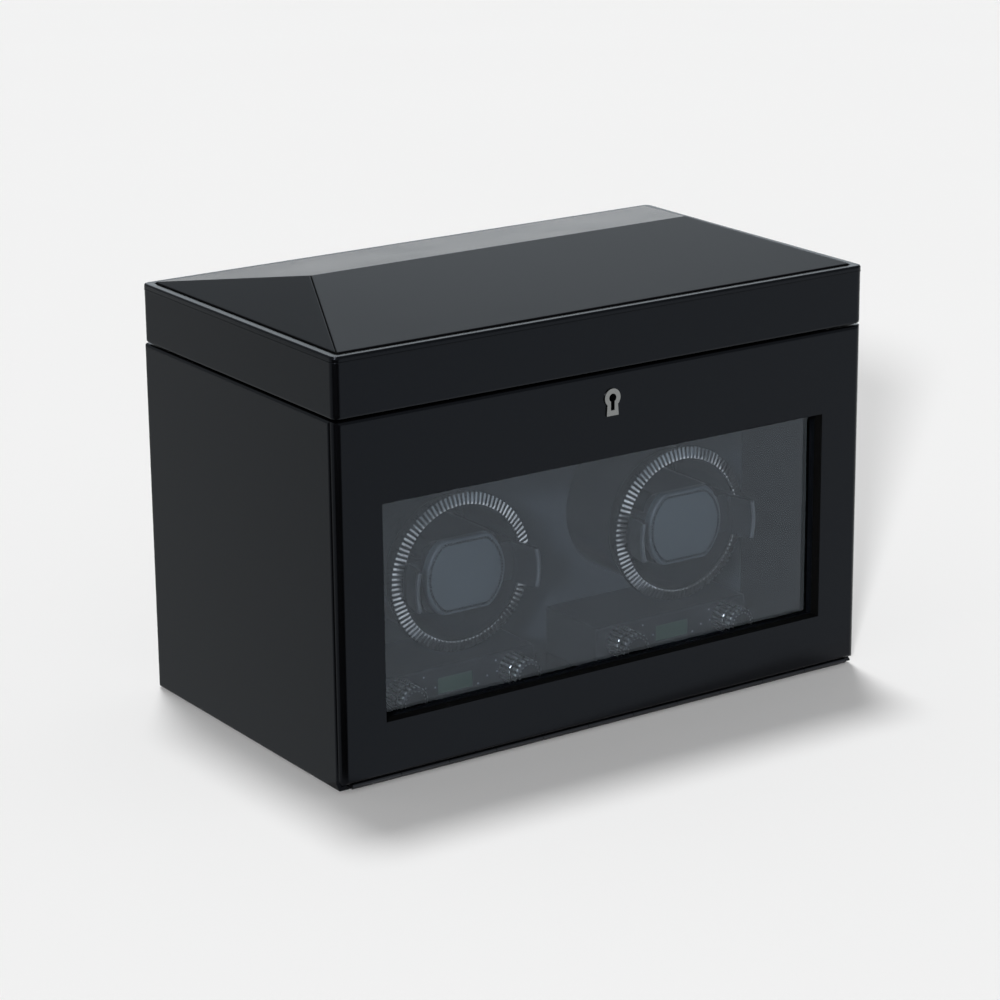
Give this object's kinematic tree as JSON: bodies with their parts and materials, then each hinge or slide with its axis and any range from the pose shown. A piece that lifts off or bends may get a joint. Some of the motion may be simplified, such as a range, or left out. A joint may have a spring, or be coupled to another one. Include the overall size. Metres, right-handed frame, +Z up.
{
  "type": "watch winder box",
  "caption": "Black leatherette case with hipped lid, lockable glazed drop-front door, belt-driven watch rotors with fluted bezels, control knobs and a storage tray.",
  "frame": {"origin": "middle of the footprint, on the surface that the feet stand on", "axes": "+Z up, +X to the right seen from the front, the door faces -Y"},
  "size_m": [0.34, 0.2018, 0.2483],
  "materials": {
    "leatherette": "satin black leatherette glued over board",
    "lining": "black flocked lining",
    "cushion_suede": "charcoal suede over foam",
    "felt": "black felt",
    "window_glass": "clear float glass",
    "chrome": "polished chrome",
    "nickel": "brushed nickel",
    "dark_steel": "blackened steel",
    "bright_steel": "bright steel",
    "black_plastic": "moulded black plastic",
    "pad_leather": "soft black leather, stitched",
    "display": "grey-green liquid crystal display",
    "bronze": "sintered bronze",
    "motor_can": "zinc plated can",
    "belt_rubber": "black rubber",
    "board": "green circuit board",
    "lead_rubber": "black sleeved wire"
  },
  "bodies": {
    "case": {"base_board": "leatherette", "left_side": "leatherette", "right_side": "leatherette", "back_panel": "leatherette", "backboard": "lining", "tray_ledges": "lining", "storage_tray": "lining", "watch_cushion_1": "cushion_suede", "watch_cushion_2": "cushion_suede", "watch_cushion_3": "cushion_suede", "felt_feet": "felt", "door_hinge_case_leaf": "dark_steel", "door_hinge_pin": "dark_steel", "lid_hinge_case_leaves": "dark_steel", "lid_hinge_pins": "dark_steel", "case_magnets": "bright_steel", "control_box_left": "black_plastic", "control_box_right": "black_plastic", "gearbox_left": "black_plastic", "gearbox_right": "black_plastic", "gearbox_covers": "black_plastic", "selector_switches": "black_plastic", "power_inlet": "black_plastic", "displays": "display", "rotor_bushes": "bronze", "drive_motors": "motor_can", "drive_belts": "belt_rubber", "control_boards": "board", "power_leads": "lead_rubber"},
    "lid": {"lid_frame": "leatherette", "lid_roof": "leatherette", "lid_liner": "lining", "strike_plate": "nickel", "lid_hinge_lid_leaves": "dark_steel"},
    "door": {"door_panel": "leatherette", "door_glass": "window_glass", "glass_frame": "black_plastic", "escutcheon": "nickel", "lock_case": "nickel", "door_magnets": "bright_steel", "door_hinge_door_leaf": "dark_steel"},
    "lock_bolt": {"lock_bolt": "nickel"},
    "rotor_left": {"bezel_left": "chrome", "drum_left": "black_plastic", "rotor_shaft_left": "bright_steel", "drum_pulley_left": "black_plastic", "cuff_frame_left": "black_plastic", "cuff_pad_left": "pad_leather"},
    "motor_left": {"motor_pulley_left": "black_plastic"},
    "knob_left_a": {"knob_left_a": "chrome"},
    "knob_left_b": {"knob_left_b": "chrome"},
    "rotor_right": {"bezel_right": "chrome", "drum_right": "black_plastic", "rotor_shaft_right": "bright_steel", "drum_pulley_right": "black_plastic", "cuff_frame_right": "black_plastic", "cuff_pad_right": "pad_leather"},
    "motor_right": {"motor_pulley_right": "black_plastic"},
    "knob_right_a": {"knob_right_a": "chrome"},
    "knob_right_b": {"knob_right_b": "chrome"}
  },
  "joints": [
    {"name": "lid_hinge", "type": "hinge", "parent": "case", "child": "lid", "pos_m": [0, 0.0979, 0.1993], "axis": [-1, 0, 0], "range_deg": [0, 100]},
    {"name": "door_hinge", "type": "hinge", "parent": "case", "child": "door", "pos_m": [0, -0.0983, 0.0033], "axis": [1, 0, 0], "range_deg": [0, 90]},
    {"name": "bolt_slide", "type": "slide", "parent": "door", "child": "lock_bolt", "axis": [0, 0, 1], "range_m": [0, 0.005]},
    {"name": "rotor_left_spin", "type": "hinge", "parent": "case", "child": "rotor_left", "pos_m": [-0.0725, -0.0401, 0.0928], "axis": [0, 1, 0], "continuous": true},
    {"name": "motor_left_spin", "type": "hinge", "parent": "case", "child": "motor_left", "pos_m": [-0.0725, 0.0139, 0.0548], "axis": [0, 1, 0], "continuous": true},
    {"name": "knob_left_a_turn", "type": "hinge", "parent": "case", "child": "knob_left_a", "pos_m": [-0.1089, -0.0601, 0.0298], "axis": [0, 1, 0], "range_deg": [-135, 135]},
    {"name": "knob_left_b_turn", "type": "hinge", "parent": "case", "child": "knob_left_b", "pos_m": [-0.0361, -0.0601, 0.0298], "axis": [0, 1, 0], "range_deg": [-135, 135]},
    {"name": "rotor_right_spin", "type": "hinge", "parent": "case", "child": "rotor_right", "pos_m": [0.0725, -0.0401, 0.0928], "axis": [0, 1, 0], "continuous": true},
    {"name": "motor_right_spin", "type": "hinge", "parent": "case", "child": "motor_right", "pos_m": [0.0725, 0.0139, 0.0548], "axis": [0, 1, 0], "continuous": true},
    {"name": "knob_right_a_turn", "type": "hinge", "parent": "case", "child": "knob_right_a", "pos_m": [0.0361, -0.0601, 0.0298], "axis": [0, 1, 0], "range_deg": [-135, 135]},
    {"name": "knob_right_b_turn", "type": "hinge", "parent": "case", "child": "knob_right_b", "pos_m": [0.1089, -0.0601, 0.0298], "axis": [0, 1, 0], "range_deg": [-135, 135]}
  ],
  "couplings": [
    {"joint": "motor_left_spin", "follows": "rotor_left_spin", "ratio": 4},
    {"joint": "motor_right_spin", "follows": "rotor_right_spin", "ratio": 4}
  ]
}
